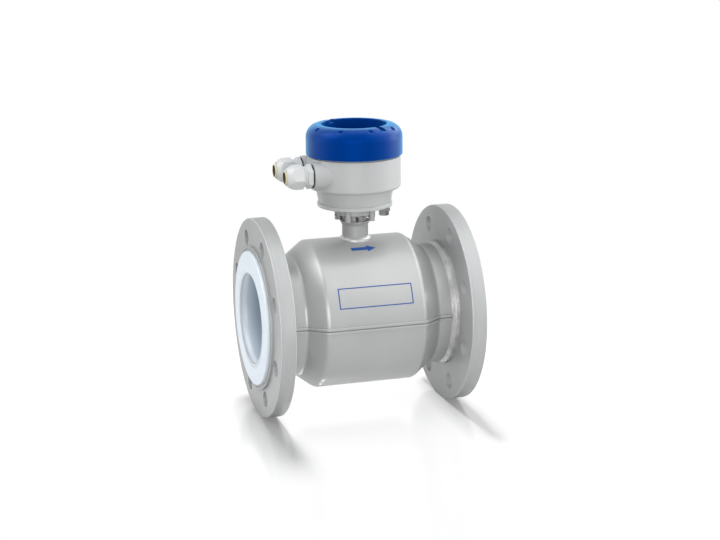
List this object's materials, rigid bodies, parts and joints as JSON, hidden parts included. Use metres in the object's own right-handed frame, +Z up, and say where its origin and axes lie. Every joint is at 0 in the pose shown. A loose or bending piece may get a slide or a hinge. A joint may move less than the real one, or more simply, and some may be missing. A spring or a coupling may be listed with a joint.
{
  "type": "electromagnetic flow meter",
  "caption": "Flanged electromagnetic flow meter: lined measuring tube between two flanges, welded coil housing, and a round converter with a screw cover and cable glands on a short neck.",
  "frame": {"origin": "crossing of the pipe axis and the converter axis, midway between the two liner faces", "axes": "+X along the pipe axis in the flow direction, +Z up the converter axis away from the pipe, +Y to the left of the flow"},
  "size_m": [0.242, 0.22, 0.3195],
  "materials": {
    "flange_steel": "fine turned faces under a thin satin clear coat",
    "shell_silver": "satin silver-grey paint",
    "weld_silver": "weld bead under silver-grey paint",
    "liner_white": "semi-gloss bluish white",
    "tube_steel": "plain drawn tube",
    "core_iron": "dark soft iron",
    "winding_copper": "enamelled copper wire",
    "bobbin_black": "black moulded plastic",
    "electrode_steel": "polished corrosion-proof steel",
    "bush_white": "white insulating plastic",
    "housing_grey": "light grey powder coat on die-cast aluminium",
    "cover_blue": "semi-gloss blue powder coat",
    "gland_grey": "pale grey polyamide",
    "seal_black": "matte black rubber",
    "seal_cream": "matte pale yellow rubber",
    "screw_steel": "plated steel, satin",
    "board_green": "solder mask",
    "module_black": "black potting case",
    "terminal_green": "moulded terminal strip",
    "insert_grey": "dark grey moulded hood",
    "display_grey": "moulded display frame",
    "pane_grey": "unlit liquid-crystal pane",
    "window_clear": "clear toughened glass"
  },
  "bodies": {
    "meter": {"inlet_flange": "flange_steel", "outlet_flange": "flange_steel", "measuring_tube": "tube_steel", "liner": "liner_white", "upper_half_shell": "shell_silver", "lower_half_shell": "shell_silver", "inlet_shell_weld": "weld_silver", "outlet_shell_weld": "weld_silver", "electrode_front": "electrode_steel", "electrode_rear": "electrode_steel", "electrode_bush_front": "bush_white", "electrode_bush_rear": "bush_white", "electrode_springs": "screw_steel", "electrode_nuts": "screw_steel", "pole_shoe_upper": "core_iron", "pole_shoe_lower": "core_iron", "core_upper": "core_iron", "core_lower": "core_iron", "yoke_band": "core_iron", "bobbin_upper": "bobbin_black", "bobbin_lower": "bobbin_black", "coil_upper": "winding_copper", "coil_lower": "winding_copper", "neck": "shell_silver", "neck_weld": "weld_silver", "neck_gasket": "seal_black", "neck_screws": "screw_steel", "neck_lock_washers": "screw_steel", "converter_housing": "housing_grey", "ground_clamp": "screw_steel", "ground_screw": "screw_steel", "main_circuit_board": "board_green", "board_screws": "screw_steel", "power_module": "module_black", "terminal_block": "terminal_green", "insulating_insert": "insert_grey", "display_module": "display_grey", "display_pane": "pane_grey", "gland_gasket_front": "seal_black", "gland_body_front": "gland_grey", "gland_gasket_rear": "seal_black", "gland_body_rear": "gland_grey"},
    "collar_ring": {"cover_o_ring": "seal_black"},
    "screw_cover": {"cover": "cover_blue", "window_gasket": "seal_black", "window_glass": "window_clear", "window_retainer": "screw_steel"},
    "seal_front": {"gland_seal_front": "seal_cream"},
    "nut_front": {"gland_nut_front": "gland_grey"},
    "seal_rear": {"gland_seal_rear": "seal_cream"},
    "nut_rear": {"gland_nut_rear": "gland_grey"}
  },
  "joints": [
    {"name": "cover_turn", "type": "hinge", "parent": "meter", "child": "collar_ring", "pos_m": [0, 0, 0.1761], "axis": [0, 0, 1], "range_deg": [0, 1440]},
    {"name": "cover_lift", "type": "slide", "parent": "collar_ring", "child": "screw_cover", "axis": [0, 0, 1], "range_m": [0, 0.0121]},
    {"name": "nut_turn_front", "type": "hinge", "parent": "meter", "child": "seal_front", "pos_m": [-0.067, -0.022, 0.1583], "axis": [-1, 0, 0], "range_deg": [0, 1080]},
    {"name": "nut_slide_front", "type": "slide", "parent": "seal_front", "child": "nut_front", "axis": [-1, 0, 0], "range_m": [0, 0.0046]},
    {"name": "nut_turn_rear", "type": "hinge", "parent": "meter", "child": "seal_rear", "pos_m": [-0.067, 0.022, 0.1583], "axis": [-1, 0, 0], "range_deg": [0, 1080]},
    {"name": "nut_slide_rear", "type": "slide", "parent": "seal_rear", "child": "nut_rear", "axis": [-1, 0, 0], "range_m": [0, 0.0046]}
  ],
  "couplings": [
    {"joint": "cover_lift", "follows": "cover_turn", "m_per_rad": 0.00047746},
    {"joint": "nut_slide_front", "follows": "nut_turn_front", "m_per_rad": 0.00023873},
    {"joint": "nut_slide_rear", "follows": "nut_turn_rear", "m_per_rad": 0.00023873}
  ]
}
